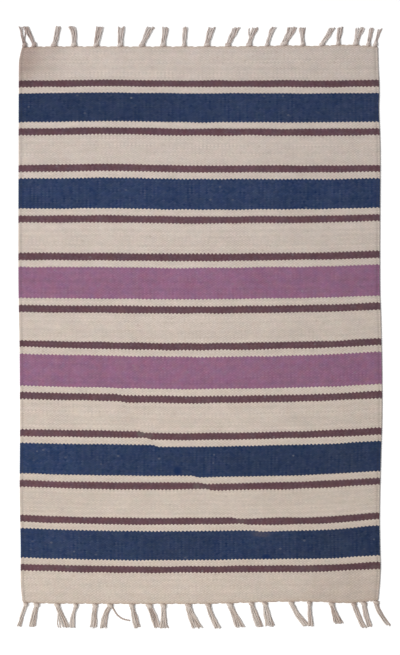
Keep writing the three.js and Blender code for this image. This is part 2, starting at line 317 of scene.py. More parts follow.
wear = {
    # How strongly each kind of unevenness shows: as a share of the brightness, and as pale lint on the dye
    # ribs, warps and turns follow the ribs that the warps raise: painted light and shade of that relief
    "shade": {"perBead": 0.055, "perPick": 0.1, "streak": 0.24, "mottle": 0.055, "ribs": 0.018,
              "cloudy": 0.035, "turns": 0.006},
    "lint": {"perBead": 0.012, "warps": 0.026, "specks": 0.032, "cloudy": 0.012, "turns": 0.008},
    # How fast each kind of noise runs over the warps and over the picks, and which slice of it is taken
    "grain": {"streak": (0.09, 1.0, 0.0), "mottle": (0.7, 0.5, 0.0), "ribs": (1.0, 0.06, 7.3),
              "warps": (3.7, 0.06, 2.9), "specks": (3.7, 0.33, 5.1)},
    "grainScale": 0.87,
    "pickColumn": 7.0,  # the place across from which a whole pick takes its random number
    "cloudy": (14.0, 3.0),  # scale and detail
    "slackScale": 16.0,
    "slack": (0.4, 0.6, 0.3, 1.0),
    "tints": [(95.0, 0.1), (80.0, 0.05), (70.0, 0.08)],  # red, green, blue: (how fine, how strong on cream)
    "tintsOnDark": 2.6,  # how much stronger they are on the dark dyes
    "paintedFalloff": (-0.1, 0.32, 1.0, 0.9),  # painted light falloff, darker towards the right: from and to, in metres across, and the brightness there
    "lastPicks": (2.5, 0.8),  # how many they are, and how strong their tint
    "groove": (1.2, 0.82),  # painted shade in the groove beside each selvedge: how wide, in warps, and how bright
    "paintedLightRight": 1.25,  # painted light: how bright the right selvedge is painted, though its flank lies in shade
    "yellowing": (-0.46, 0.46, 0.0, 1.0),  # from the near end to the far one, in metres along
    "neps": (0.995, 0.999, 0.0, 0.3),  # which beads on the cream are darker, by their random number
    "paleBeads": (0.0, 0.005, 0.2, 0.0),  # which beads on the dark dyes are paler
}

weave = {
    "roughness": 0.92,
    "beadRim": (0.97, 0.03),  # half a bead's height in picks, over its warp and at the next ones
    "gap": (0.55, 1.0, 0.0, 1.0),  # where the painted shade between beads begins and is full, and from 0 to 1
    "gapDepth": (0.35, 0.65, 0.05, 0.2),  # that shade's depth, from 0.05 to 0.2 by a slow noise
    "frayed": (0.35, 0.65, 0.5, 1.0),  # how much of a join shows, by a finer noise
    "scales": {"gapDepth": 22.0, "frayed": 320.0, "fuzz": 1400.0},  # of those noises and the fuzz
    "plyTurns": (13.0, 9.0),  # the twist of the yarn, in radians for each warp and each pick
    "plyShade": 0.07,
    "plyRise": 0.25,  # against a bead's crown of 1
    "fuzzRise": 0.5,
    "bump": (0.5, 0.4 * mm),
}


def patch(tree, place, across, along, halfWidth, halfHeight, share):
    # The share at a place on the rug, fading to 0 at the rim of an ellipse around it
    mapping = tree.nodes.new("ShaderNodeMapping")
    mapping.vector_type = "TEXTURE"
    mapping.inputs["Location"].default_value = (across * mm, along * mm, 0)
    mapping.inputs["Scale"].default_value = (halfWidth * mm, halfHeight * mm, 1)
    tree.links.new(place, mapping.inputs["Vector"])
    x, y = split(tree, mapping.outputs[0])
    away = calc(tree, "SQRT", calc(tree, "ADD", times(tree, x, x), times(tree, y, y)))
    return times(tree, spread(tree, away, marks["core"], 1.0, 1.0, 0.0), share)


def weaveMaterial():
    # The map weaveCount counts warps to the right and picks upwards. Every crossing whose two numbers
    # add up to an even one shows a bead of weft. Rounding finds the diamond that a point is in, and a point
    # beyond the bead's own rim is handed on to the next bead, which leaves the picks parted by waves.
    material, tree, shader = cottonMaterial("woven cotton", weave["roughness"])
    warpCount, pickCount = readMap(tree, "weaveCount")
    rising = calc(tree, "ROUND", times(tree, calc(tree, "ADD", warpCount, pickCount), 0.5))
    falling = calc(tree, "ROUND", times(tree, minus(tree, warpCount, pickCount), 0.5))
    warp, pick = calc(tree, "ADD", rising, falling), minus(tree, rising, falling)
    right, up = minus(tree, warpCount, warp), minus(tree, pickCount, pick)
    beyond = calc(tree, "GREATER_THAN", calc(tree, "ABSOLUTE", up), beadRim(tree, right))
    warp = calc(tree, "MULTIPLY_ADD", calc(tree, "SIGN", right), beyond, warp)
    pick = calc(tree, "MULTIPLY_ADD", calc(tree, "SIGN", up), beyond, pick)
    right, up = minus(tree, warpCount, warp), minus(tree, pickCount, pick)
    upward = calc(tree, "DIVIDE", calc(tree, "ABSOLUTE", up), beadRim(tree, right))
    away = calc(tree, "MAXIMUM", upward, calc(tree, "ABSOLUTE", right))  # 0 on a crown, 1 between beads

    place = onObject(tree)
    paint = stripes(tree, pick)
    paint = wornDye(tree, paint, place, warp, pick)
    paint = marked(tree, paint, place)
    # Painted shade: darker between the beads, and in stripes along the twist of the plies
    depth = spread(tree, noise(tree, place, weave["scales"]["gapDepth"]), *weave["gapDepth"])
    gap = minus(tree, 1.0, times(tree, spread(tree, away, *weave["gap"]), depth))
    perWarp, perPick = weave["plyTurns"]
    turned = calc(tree, "MULTIPLY_ADD", warpCount, perWarp, times(tree, pickCount, perPick))
    plies = calc(tree, "SINE", turned)
    shade = times(tree, gap, calc(tree, "MULTIPLY_ADD", plies, weave["plyShade"], 1.0))
    feed(tree, shader.inputs["Base Color"], shaded(tree, 1.0, paint, shade))

    crown = minus(tree, 1.0, times(tree, away, away))
    fuzz = times(tree, noise(tree, place, weave["scales"]["fuzz"]), weave["fuzzRise"])
    height = calc(tree, "ADD", calc(tree, "MULTIPLY_ADD", plies, weave["plyRise"], crown), fuzz)
    feed(tree, shader.inputs["Normal"], bump(tree, height, *weave["bump"]))
    return material


def beadRim(tree, right):
    # How high a bead is, in picks, above its middle and out to the next one in its pick
    return spread(tree, calc(tree, "ABSOLUTE", right), 0.0, 1.0, *weave["beadRim"])


def stripes(tree, pick):
    # Counts the picks within each stripe group, and looks the count up in two constant ramps
    unit, units = float(dyes["unit"]), dyes["units"]
    fromFirst = minus(tree, calc(tree, "MAXIMUM", pick, 0.0), float(dyes["endPicks"]))
    fromFirst = calc(tree, "MINIMUM", fromFirst, units * unit - 1)
    within = calc(tree, "FLOORED_MODULO", fromFirst, unit)
    share = calc(tree, "DIVIDE", calc(tree, "ADD", within, 0.5), unit)
    ramps = []
    for wide in ("navy", "mauve"):
        node = tree.nodes.new("ShaderNodeValToRGB")
        node.color_ramp.interpolation = "CONSTANT"
        points = node.color_ramp.elements
        while len(points) < len(dyes["bands"]):
            points.new(1.0)
        for point, (start, dye, _) in zip(points, dyes["bands"]):
            point.position = start / unit
            point.color = dyes[wide if dye == "wide" else dye]
        tree.links.new(share, node.inputs[0])
        ramps.append(node.outputs[0])
    group = calc(tree, "FLOOR", calc(tree, "DIVIDE", fromFirst, unit))
    return blend(tree, calc(tree, "COMPARE", group, *dyes["mauveUnits"]), *ramps)


def darkness(tree, paint):
    # 1 on the dyed stripes and 0 on the cream ground
    node = tree.nodes.new("ShaderNodeRGBToBW")
    tree.links.new(paint, node.inputs[0])
    return spread(tree, node.outputs[0], *dyes["darkness"])


def marked(tree, paint, place):
    # Joins show unevenly, as their ends are frayed. Joins and stains are on the dyed wefts only.
    frayed = spread(tree, noise(tree, place, weave["scales"]["frayed"]), *weave["frayed"])
    for kind, showing in (("joins", frayed), ("stains", 1.0)):
        for mark in marks[kind]:
            dark = times(tree, times(tree, patch(tree, place, *mark), showing), darkness(tree, paint))
            paint = blend(tree, dark, paint, markColours[kind])
    for across, along, share in marks["flecks"]:
        fleck = patch(tree, place, across, along, *marks["fleckSize"], share)
        paint = blend(tree, fleck, paint, markColours["flecks"])
    return paint


def unevenness(tree, place, warp, pick):
    # Each pick is a length of yarn of its own: streaked along it and uneven from bead to bead. Painted light
    # and shade of the ribs: brighter or darker where the warps stand under it, and lighter on every second
    # turn in patches
    kinds = {}
    for kind, (perWarp, perPick, part) in wear["grain"].items():
        at = vector(tree, times(tree, warp, perWarp), times(tree, pick, perPick), part)
        kinds[kind] = noise(tree, at, wear["grainScale"])
    kinds["perBead"] = speckle(tree, vector(tree, warp, pick))
    kinds["perPick"] = speckle(tree, vector(tree, wear["pickColumn"], pick))
    kinds["cloudy"] = noise(tree, place, *wear["cloudy"])
    # The patches in which every second turn is lighter: painted light and shade of the ribs
    slack = spread(tree, noise(tree, place, wear["slackScale"]), *wear["slack"])
    kinds["turns"] = times(tree, calc(tree, "FLOORED_MODULO", pick, 2.0), slack)
    return kinds


def summed(tree, kinds, amounts, mean):
    # Every kind runs from 0 to 1, so half of all the amounts is taken off
    total = mean - sum(amounts.values()) / 2
    for kind, amount in amounts.items():
        total = calc(tree, "MULTIPLY_ADD", kinds[kind], amount, total)
    return total


def wornDye(tree, paint, place, warp, pick):
    # The yarn's own unevenness and lint, with the ribs' painted light and shade, a painted light falloff
    # towards the right, tints that drift, colour by place, the selvedges' painted shade and light, faded
    # patches and a few odd beads
    kinds = unevenness(tree, place, warp, pick)
    falloffShade = spread(tree, split(tree, place)[0], *wear["paintedFalloff"])
    paint = shaded(tree, 1.0, paint, times(tree, summed(tree, kinds, wear["shade"], 1.0), falloffShade))
    lint = summed(tree, kinds, wear["lint"], 0.0)
    paint = blend(tree, 1.0, paint, vector(tree, lint, lint, lint), "ADD")

    strength = calc(tree, "MULTIPLY_ADD", darkness(tree, paint), wear["tintsOnDark"], 1.0)
    tints = []
    for fineness, amount in wear["tints"]:
        drift = times(tree, minus(tree, noise(tree, place, fineness), 0.5), strength)
        tints.append(calc(tree, "MULTIPLY_ADD", drift, amount, 1.0))
    paint = blend(tree, 1.0, paint, vector(tree, *tints), "MULTIPLY")
    paint = tintedByPlace(tree, paint, place)
    paint = rimmed(tree, paint, warp, pick)

    dye = 1.0
    for mark in marks["faded"]:
        dye = calc(tree, "ADD", patch(tree, place, *mark), dye)
    paint = shaded(tree, darkness(tree, paint), paint, dye)
    dark = darkness(tree, paint)
    neps = times(tree, spread(tree, kinds["perBead"], *wear["neps"]), minus(tree, 1.0, dark))
    pale = times(tree, spread(tree, kinds["perBead"], *wear["paleBeads"]), dark)
    paint = blend(tree, neps, paint, markColours["neps"])
    return blend(tree, pale, paint, markColours["flecks"])


def rimmed(tree, paint, warp, pick):
    # Warmer on the last picks, painted shade in the groove beside each selvedge, and painted light on the
    # right selvedge, whose flank lies in shade
    picks, tint = wear["lastPicks"]
    fromEnd = calc(tree, "MINIMUM", pick, minus(tree, panel["picks"] - 1.0, pick))
    last = spread(tree, fromEnd, 0.0, picks, tint, 0.0)
    paint = blend(tree, last, paint, markColours["lastPicks"], "MULTIPLY")
    width, low = wear["groove"]
    fromSide = calc(tree, "MINIMUM", warp, minus(tree, panel["warps"] - 1.0, warp))
    groove = spread(tree, calc(tree, "ABSOLUTE", minus(tree, fromSide, 1.0)), 0.0, width, low, 1.0)
    paintedLightRight = spread(tree, warp, panel["warps"] - 1.5, panel["warps"] - 0.5, 1.0, wear["paintedLightRight"])
    return shaded(tree, 1.0, paint, times(tree, groove, paintedLightRight))


def tintedByPlace(tree, paint, place):
    # Yellower towards the near end and bluer towards the far one, and darker in a few patches
    far = spread(tree, split(tree, place)[1], *wear["yellowing"])
    yellowing = blend(tree, far, markColours["nearEnd"], markColours["farEnd"])
    paint = blend(tree, 1.0, paint, yellowing, "MULTIPLY")
    for mark in marks["darkPatches"]:
        paint = blend(tree, patch(tree, place, *mark), paint, markColours["darkPatches"], "MULTIPLY")
    return paint


yarnWear = {
    "roughness": 0.95,
    "shade": {"groove": 0.06, "fibres": 0.15, "slubs": 0.2},  # how much each adds to the least brightness; the groove between the plies is painted shade
    "least": 0.8,
    "fibres": (0.6, 9.0, 40.0),  # how fast their noise runs along a yarn, around it and from yarn to yarn
    "slubs": (0.12, 90.0),  # along a yarn and from yarn to yarn
    "scales": {"fibres": 1.5, "slubs": 1.0},
    "tone": (0.05, 0.3, 0.68, 1.0),  # the yarns with the lowest random numbers are in shade
    "facing": (0.1, 0.95, 0.88, 1.0),  # and so is what faces into the tassel
    "height": (0.0, 1.0, 0.97, 1.04),  # or lies low in it
    "redder": 0.8,  # a yarn's darker parts, its painted shade among them, are redder too, as painted light bounced between the yarns: the power that its shade is raised to for red
    "colours": (colour(208, 195, 184), colour(205, 194, 188)),
    "drawnColour": colour(206, 188, 172),  # where it is drawn along the weave
    "grooveRise": 0.5,  # against the fibres' 1
    "bump": (0.4, 0.25 * mm),
}


def yarnMaterial():
    # The map yarnRun holds the length along a yarn (in mm) and the turn around it (0 to 1), yarnTone a random
    # number for each yarn and 1 where it is still drawn along the weave, and yarnOpen how far its surface
    # faces out of the tassel and how high it lies there. Painted shade darkens the grooves between the plies,
    # the yarns with the lowest numbers, what faces into the tassel and what lies low in it
    material, tree, shader = cottonMaterial("fringe yarn", yarnWear["roughness"])
    run, turn = readMap(tree, "yarnRun")
    tone, fell = readMap(tree, "yarnTone")
    facing, height = readMap(tree, "yarnOpen")
    plyPhase = minus(tree, turn, calc(tree, "DIVIDE", run, yarn["turnLength"] / mm))
    groove = calc(tree, "COSINE", times(tree, plyPhase, 4 * math.pi))
    at = [times(tree, part, speed) for part, speed in zip((run, plyPhase, tone), yarnWear["fibres"])]
    fibres = noise(tree, vector(tree, *at), yarnWear["scales"]["fibres"])
    at = [times(tree, part, speed) for part, speed in zip((run, tone), yarnWear["slubs"])]
    slubs = noise(tree, vector(tree, *at), yarnWear["scales"]["slubs"])
    shade = yarnWear["least"]
    for kind, part in (("groove", groove), ("fibres", fibres), ("slubs", slubs)):
        shade = calc(tree, "MULTIPLY_ADD", part, yarnWear["shade"][kind], shade)
    for kind, part in (("tone", tone), ("facing", facing), ("height", height)):
        shade = times(tree, shade, spread(tree, part, *yarnWear[kind]))
    paint = blend(tree, tone, *yarnWear["colours"])
    paint = blend(tree, fell, paint, yarnWear["drawnColour"])
    warmer = calc(tree, "POWER", shade, yarnWear["redder"])
    paint = blend(tree, 1.0, paint, vector(tree, warmer, shade, shade), "MULTIPLY")
    feed(tree, shader.inputs["Base Color"], tintedByPlace(tree, paint, onObject(tree)))
    relief = calc(tree, "MULTIPLY_ADD", groove, yarnWear["grooveRise"], fibres)
    feed(tree, shader.inputs["Normal"], bump(tree, relief, *yarnWear["bump"]))
    return material


# The woven panel

def pickPlaces(pickCount):
    # The picks lie one after another from end to end, each as thick as its weft
    count = np.arange(panel["picks"])
    within = np.minimum(count - dyes["endPicks"], dyes["units"] * dyes["unit"] - 1) % dyes["unit"]
    starts, _, thickness = zip(*dyes["bands"])
    thick = np.array(thickness)[np.searchsorted(starts, within, side="right") - 1]
    reached = np.concatenate([[0], np.cumsum(thick)]) / thick.sum()
    return (np.interp(pickCount + 0.5, np.arange(len(reached)), reached) - 0.5) * panel["length"]


def strayedBy(along, across):
    # How far up a crossing went: the middle's rise, the sides' with the square of the place across, the tilt
    # with the place itself, and each half's own rise with the square of a sine over that half
    place = across / (panel["width"] / 2)  # -1 at the left selvedge, 1 at the right one
    rise = {part: wander(rows, along)[:, None] for part, rows in strayed.items()}
    shift = rise["middle"] + rise["sides"] * place ** 2 + rise["tilt"] * place
    shift += rise["leftHalf"] * np.sin(math.pi * np.clip(-place, 0, 1)) ** 2
    shift += rise["rightHalf"] * np.sin(math.pi * np.clip(place, 0, 1) ** 2) ** 2
    return shift


def slippedBy(along, x):
    # The slip's place and its rise run in straight lines from row to row
    at, across, rise = np.array(slip["rows"]).T
    across = np.interp(along / mm, at, across)[:, None] * mm
    rise = np.interp(along / mm, at, rise)[:, None] * mm
    return rise * ease(0.5 + (across - x) / (2 * slip["halfWidth"] * mm))


def dippedBy(along, x):
    # Down in an ellipse, most in its middle
    dipX, dipY, halfWidth, halfHeight, rise = np.array(slip["dip"]) * mm
    return rise * ease(1 - np.hypot((x - dipX) / halfWidth, (along[:, None] - dipY) / halfHeight))


def weavePlaces(warpCount, pickCount):
    # Where a crossing lies: picks run evenly from end to end but for their straying, warps evenly
    # between the two wandering selvedges
    half = panel["length"] / 2
    along = pickPlaces(pickCount)
    left = -panel["width"] / 2 - wander(edges["left"], along)
    right = panel["width"] / 2 + wander(edges["right"], along)
    x = left[:, None] + (right - left)[:, None] * (warpCount + 0.5)[None, :] / panel["warps"]
    middleRow = x[len(x) // 2]
    shift = strayedBy(along, middleRow)
    shift += slippedBy(along, x)
    shift += dippedBy(along, x)

    near, far = panel["ownEnds"]
    toNear = ease((near - along) / (half + near))[:, None]
    toFar = ease((along - far) / (half - far))[:, None]
    shift = shift * (1 - toNear - toFar)
    shift += toNear * (nearEdge(middleRow) + half) + toFar * (farEdge(middleRow) - half)
    return x, along[:, None] + shift


def roundCorners(x, y):
    # Near a corner the last rows bend in along a quarter circle
    radius = panel["cornerRound"]
    fromSide = np.minimum(x - x[:, :1], x[:, -1:] - x)
    fromEnd = np.minimum(y - y[:1], y[-1:] - y)
    into = np.clip(1 - fromSide / radius, 0, 1)
    fade = np.clip(1 - fromEnd / (panel["cornerFade"] * radius), 0, 1)
    return x, y - np.sign(y) * radius * (1 - np.sqrt(1 - into ** 2)) * fade


def waver(dice, rows, columns, rowStep, columnStep, amount):
    # A smooth random field: one number every few rows and columns, with cubics between them
    coarse = dice.normal(0, amount, (rows // rowStep + 2, columns // columnStep + 2))
    tall = smoothCurve(np.arange(coarse.shape[0]) * rowStep, coarse, np.arange(rows))
    return smoothCurve(np.arange(coarse.shape[1]) * columnStep, tall.T, np.arange(columns)).T


def withRim(count):
    # Each yarn's number and share of the thickness, with the rim's own on both sides
    outer, share = np.array(panel["rim"]).T
    numbers = np.concatenate([outer, np.arange(count), (count - 1 - outer)[::-1]])
    return numbers, np.concatenate([share, np.ones(count), share[::-1]])


def unsettle(x, y, low):
    # The weft turns back at a selvedge on every second pick, and no pick or warp lies quite straight
    rim = len(panel["rim"])
    turning = np.where(low[:, :1], 1, -1) * panel["scallop"]
    x[:, :rim] += turning
    x[:, -rim:] += turning
    dice = np.random.default_rng(panel["seed"])
    picks, warps = y[rim + 1:-rim - 1], x[:, rim + 2:-rim - 2]
    picks += dice.normal(0, panel["pickJitter"], (len(picks), 1))
    picks += dice.normal(0, panel["pickJitter"] / 2, picks.shape)
    picks += waver(dice, *picks.shape, *panel["pickWaver"])
    warps += waver(dice, *warps.shape, *panel["warpWaver"])


def panelPoints():
    # The top is one point for each crossing, high where the weft shows and low where it dives, with two
    # more rows or columns rounding each edge. The underside is flat.
    warpCount, acrossShare = withRim(panel["warps"])
    pickCount, alongShare = withRim(panel["picks"])
    x, y = roundCorners(*weavePlaces(warpCount, pickCount))
    low = (np.add.outer(np.arange(len(pickCount)), np.arange(len(warpCount))) % 2).astype(bool)
    top = np.minimum.outer(alongShare, acrossShare)
    flat = top == 1
    z = panel["thickness"] * top - panel["beadRelief"] * (low & flat)
    z += flat * panel["rumple"] * rumple(x, y)
    for fromSide, rise in panel["cord"]:
        column = len(panel["rim"]) + fromSide
        z[:, [column, -1 - column]] += rise * mm
    unsettle(x, y, low)

    under = np.array(panel["underside"])
    underX = x[:, :1] + (x[:, -1:] - x[:, :1]) * (under + 0.5) / panel["warps"]
    underY = np.stack([np.interp(at, x[row], y[row]) for row, at in enumerate(underX)])
    x, y = np.hstack([x, underX]), np.hstack([y, underY])
    z = np.hstack([z, np.zeros_like(underX)])
    counts = np.meshgrid(np.concatenate([warpCount, under]), pickCount)
    return np.stack([x, y, z], -1), np.stack(counts, -1), low & flat


def rumple(x, y):
    # Soft waves that the beating and the folding left: the mean of a sine across, a sine along and a sine
    # aslant, the first two bent by slower sines, and twice as strong at the two ends as in the middle
    waves, bends = panel["waves"], panel["bends"]
    amount, length = bends["across"]
    across = np.sin(x / waves["across"] + amount * np.sin(y / length))
    amount, length = bends["along"]
    along = np.sin(y / waves["along"] + amount * np.sin(x / length))
    aslant = np.sin((x + y) / waves["aslant"] + 1.0)
    return (across + along + aslant) / 3 * (0.5 + 0.5 * np.abs(y) / y.max())


def panelFaces(rows, columns, top):
    # The columns close into a ring around the panel. Each square of four crossings is cut between its two
    # low ones, so every bead is a crown of its own. The ends are closed by triangles from the top's rim to
    # the underside.
    r, c = np.meshgrid(np.arange(rows - 1), np.arange(columns), indexing="ij")
    a, b = r * columns + c, r * columns + (c + 1) % columns
    d, e = a + columns, b + columns
    even = ((r + c) % 2 == 0)[..., None]
    first = np.where(even, np.stack([a, b, d], -1), np.stack([a, b, e], -1))
    second = np.where(even, np.stack([b, e, d], -1), np.stack([a, e, d], -1))
    faces = np.concatenate([first.reshape(-1, 3), second.reshape(-1, 3)])

    below = columns - top
    reach = (np.arange(top - 1) * below) // (top - 1)  # which underside point each stretch of rim runs to
    under = columns - 1 - reach
    rim = np.arange(top - 1)
    fans = np.stack([rim + 1, rim, under], -1)
    turns = np.flatnonzero(np.diff(reach)) + 1
    fans = np.concatenate([fans, np.stack([rim[turns], under[turns - 1], under[turns]], -1)])
    return np.concatenate([faces, fans, fans[:, ::-1] + (rows - 1) * columns])


def makePanel(material):
    points, counts, low = panelPoints()
    rows, columns = points.shape[:2]
    faces = panelFaces(rows, columns, low.shape[1])
    points, counts = points.reshape(-1, 3), counts.reshape(-1, 2)
    under = points[:, 2] == 0
    spot = (points[:, :2] - points[:, :2].min(0)) / np.ptp(points[:, 1])
    bake = spot * (1 - 2 * panel["bakeMargin"]) + panel["bakeMargin"]
    underFrom, underWidth = panel["bakeUnder"]
    bake[under, 0] = underFrom + spot[under, 0] * underWidth / spot[:, 0].max()
    maps = {"weaveCount": counts[faces], "OFBake": bake[faces]}
    piece = makePiece("kilimPanel", points, faces, maps, material)
    sharpenBeads(piece.data, low, columns)
    return piece


def sharpenBeads(mesh, low, columns):
    # The valleys between beads are creases, so each bead is shaded as a crown of its own
    valley = np.zeros((low.shape[0], columns), bool)
    valley[:, :low.shape[1]] = low
    valley = valley.ravel()
    ends = np.empty(len(mesh.edges) * 2, np.int32)
    mesh.edges.foreach_get("vertices", ends)
    ends = ends.reshape(-1, 2)
    crease = mesh.attributes.new("sharp_edge", "BOOLEAN", "EDGE")
    crease.data.foreach_set("value", valley[ends].all(1))


# The fringe

yarn = {
    "radius": 0.9 * mm,
    "drawn": 0.5,  # share of the radius where the yarn is pulled along the weave's end
    "swells": (2, 3),  # the station where it begins to swell from there, and the stations that this takes
    "uneven": 0.05,  # how far the yarns differ in radius
    "strayRadius": 1.35,  # the stray yarn has untwisted and is this much thicker
    "sides": 6,
    "steps": 66,
    "lobe": 0.2,  # how far the two plies stand out
    "turnLength": 6.0 * mm,
    "tasselHeight": 4.2 * mm,  # where a yarn lies in full light
    "drawnLook": (0.15, 0.2),  # the share of its length with the look of a drawn yarn, and what it fades over
    "rightTone": 0.15,  # brings down the tone of each tassel's last yarn, which lies in shade
    "bakeRows": 4,
    "bakeMargins": (0.05, 0.01),  # around and along a yarn
}

# A tassel's yarns, first on their way out of the weave and into the knot, then in cords on the floor
tassel = {
    "start": (-3 * mm, 2 * mm),  # (beyond the weave's end, height)
    "leaving": (0.1, 0.2 * mm, 2.2 * mm),  # (share of the distance to the knot, beyond the end, height)
    "drawn": (0.6, 0.7 * mm, 0.5 * mm),  # (share, the middle yarn's height, how much each next one adds)
    "entering": (2.6 * mm, 1.8 * mm, 0.8 * mm),  # (width over the yarns, height, rise of every second one)
    "enteringOut": 1.2 * mm,
    "within": (3.2 * mm, 2.1 * mm, 1.2 * mm),  # the same in the knot's middle
    "slack": (-0.3 * mm, 0.2 * mm),
    "stations": 10,  # on the floor
    "anyTurn": (0, 6),  # radians
    "twist": (2.0, 5.0),  # radians by which the yarns of a cord turn about each other
    "cordPitch": 2.2 * mm,  # between two cords at the knot
    "cordWidth": (0.5 * mm, 0.75),  # half of it at least, and how many radii narrower than the pitch it is
    "cordHeight": [0, 0.8, 1.05, 1.3, 1.45],  # half of it for one yarn, two yarns and so on, in radii
    "sway": (0.25 * mm, 0.6 * mm),
    "swayTurn": (3, 8),  # radians from knot to tip
    "swayFrom": 0.4,  # the share of the way at which the sway is full
    "restless": (0.2 * mm, 17),  # each yarn's own small sway: how far, and radians from knot to tip
    "trim": 1.6 * mm,  # how much longer or shorter than the tassel a yarn is at most
    "settled": 0.35,  # the share of the way at which it lies on the floor
    "knotRise": 1.3 * mm,  # how much higher it lies at the knot
    "looseBy": 1.001,  # the share of the way at which a loose yarn would be quite by itself
}

knot = {
    "out": 3.3 * mm,  # from the weave's end to the knot's middle
    "wraps": 5,
    "wrapSteps": 20,
    "wrapPitch": 1.25 * mm,
    "halfHeight": 1.9 * mm,
    "tilt": 1.6 * mm,
    "barrel": 0.2,  # how much smaller the outer wraps are
    "halfWidth": (0.9 * mm, 1.05 * mm),  # to begin with, and for each cord
    "tuck": 1.2 * mm,  # how far the turn next to the weave stands out to the right
    "widthVaries": (0.92, 1.08),
    "tiltVaries": (0.6, 1.4),
    "wrapVaries": (0.93, 1.05),
    "upright": (0, 1, 0.2),  # a direction that no wrap runs in
    "drawnLook": 0.15,  # how much of a drawn yarn's look it has
}

# The tassels from left to right, in mm: where the knot sits, how far the tips lie to its right, how many
# cords the yarns are laid in, the width over the tips, and how far the middle bulges to the right
farTassels = [(-290, -6, 2, 8, 0), (-274, -13, 2, 8.5, 0), (-241, 7, 3, 9.5, 1), (-208, -3, 3, 11.5, 2),
              (-171, 6.5, 3, 12.5, 0), (-131, 2, 3, 12, 0), (-95, 14, 3, 12, 0), (-60, 4, 3, 10.5, 0.5),
              (-25, 2, 2, 8.5, 0), (13, 8.5, 3, 11.5, -0.5), (48, 14, 3, 12.5, 0), (83, 10.5, 3, 9.5, -0.5),
              (113, 11, 2, 8.5, -1), (141, 14, 4, 16, 1), (172, -1.5, 2, 8.5, 0), (204, 17, 3, 11, 1),
              (231, 3.5, 2, 9.5, 0), (260, 10, 3, 13, 0), (281, 6, 2, 8.5, 0), (292.5, 9.5, 2, 10, 0)]
nearTassels = [(-291, -11, 2, 8, 0), (-273, -8, 3, 11.5, 0), (-239, 15, 3, 11.5, 0),
               (-208, -6, 2, 9, -1.5), (-176, -3, 3, 11.5, 0), (-151, -11, 3, 11.5, -3),
               (-115, 9, 3, 11.5, 0), (-86, 14.5, 4, 13, 0.5), (-62.5, 0, 3, 12, 0.5),
               (-21, 15, 4, 18, -1.5), (12, 15, 3, 10.5, -1), (48, 17, 4, 16, 0),
               (84, 13, 3, 12.5, 0), (106, 9, 3, 15, 0), (150, 25, 3, 12, -2), (180, 2, 2, 8.5, 0),
               (217, 11, 3, 12.5, 0), (254, 17, 3, 10.5, -1), (270.5, 10, 3, 10.5, -1),
               (291, 22, 3, 11, -3.5)]
# Yarns that have come away from their tassel: (tassel and yarn, counted from 0 or back from the last one,
# from which share of the way, how far to the right)
farLoose = [(0, -1, 0.1, 5.0), (1, 0, 0.1, -3.0), (6, -1, 0.75, 4.0), (11, 0, 0.15, -6.0),
            (14, -1, 0.1, 4.0), (17, 0, 0.2, -4.0)]
nearLoose = [(2, 0, 0.1, -9.0), (2, 1, 0.2, -5.5), (8, -1, 0.78, 4.5), (13, 0, 0.1, -2.5),
             (16, -1, 0.6, 3.5)]
# A yarn that slipped its knot: (across, beyond the weave)
strayYarn = [(-148.5, 3), (-144.5, 10.5), (-139, 19), (-130, 25.5), (-118, 28.5)]

farEnd = {"side": 1, "edge": farEdge, "reach": (33.8, 29.4), "tassels": farTassels, "worn": {},
          "loose": farLoose, "stray": [], "seed": 5}
nearEnd = {"side": -1, "edge": nearEdge, "reach": (39.8, 41), "tassels": nearTassels, "worn": {16: 6.0},
           "loose": nearLoose, "stray": strayYarn, "seed": 8}


def unit(vectors):
    return vectors / np.linalg.norm(vectors, axis=-1, keepdims=True)


def tubes(paths, radii, upright, outward, closed):
    # Rings of corners stand square to each path. Two plies make a ring slightly longer one way, and that
    # way turns as the yarn runs on. paths is (yarns, steps, 3), radii (yarns, steps), and outward the way
    # out of the tassel at each step.
    if closed:
        heading = unit(np.roll(paths, -1, 1) - np.roll(paths, 1, 1))
    else:
        heading = unit(np.gradient(paths, axis=1))
    sideways = unit(np.cross(heading, upright))
    upward = np.cross(sideways, heading)
    lengths = np.linalg.norm(np.roll(paths, -1, 1) - paths, axis=-1)
    run = np.concatenate([np.zeros((len(paths), 1)), np.cumsum(lengths, 1)], 1)
    turn = np.arange(yarn["sides"]) / yarn["sides"]
    plies = np.cos(4 * math.pi * (turn - run[:, :-1, None] / yarn["turnLength"]))
    radius = (radii[..., None] * (1 + yarn["lobe"] * plies))[..., None]
    angle = (2 * math.pi * turn)[:, None]
    spokes = np.cos(angle) * sideways[:, :, None] + np.sin(angle) * upward[:, :, None]
    # How far each corner faces out of the tassel and how high it lies, for the material's painted shade
    facing = 0.5 + 0.5 * (spokes * outward).sum(-1)
    height = paths[..., 2] / yarn["tasselHeight"]
    rings = paths[:, :, None] + radius * spokes
    rings[..., 2] = np.maximum(rings[..., 2], 0)  # flattened where it rests on the floor
    faces, maps = tubeFaces(run, facing, height, closed)
    return rings.reshape(-1, 3), faces, maps


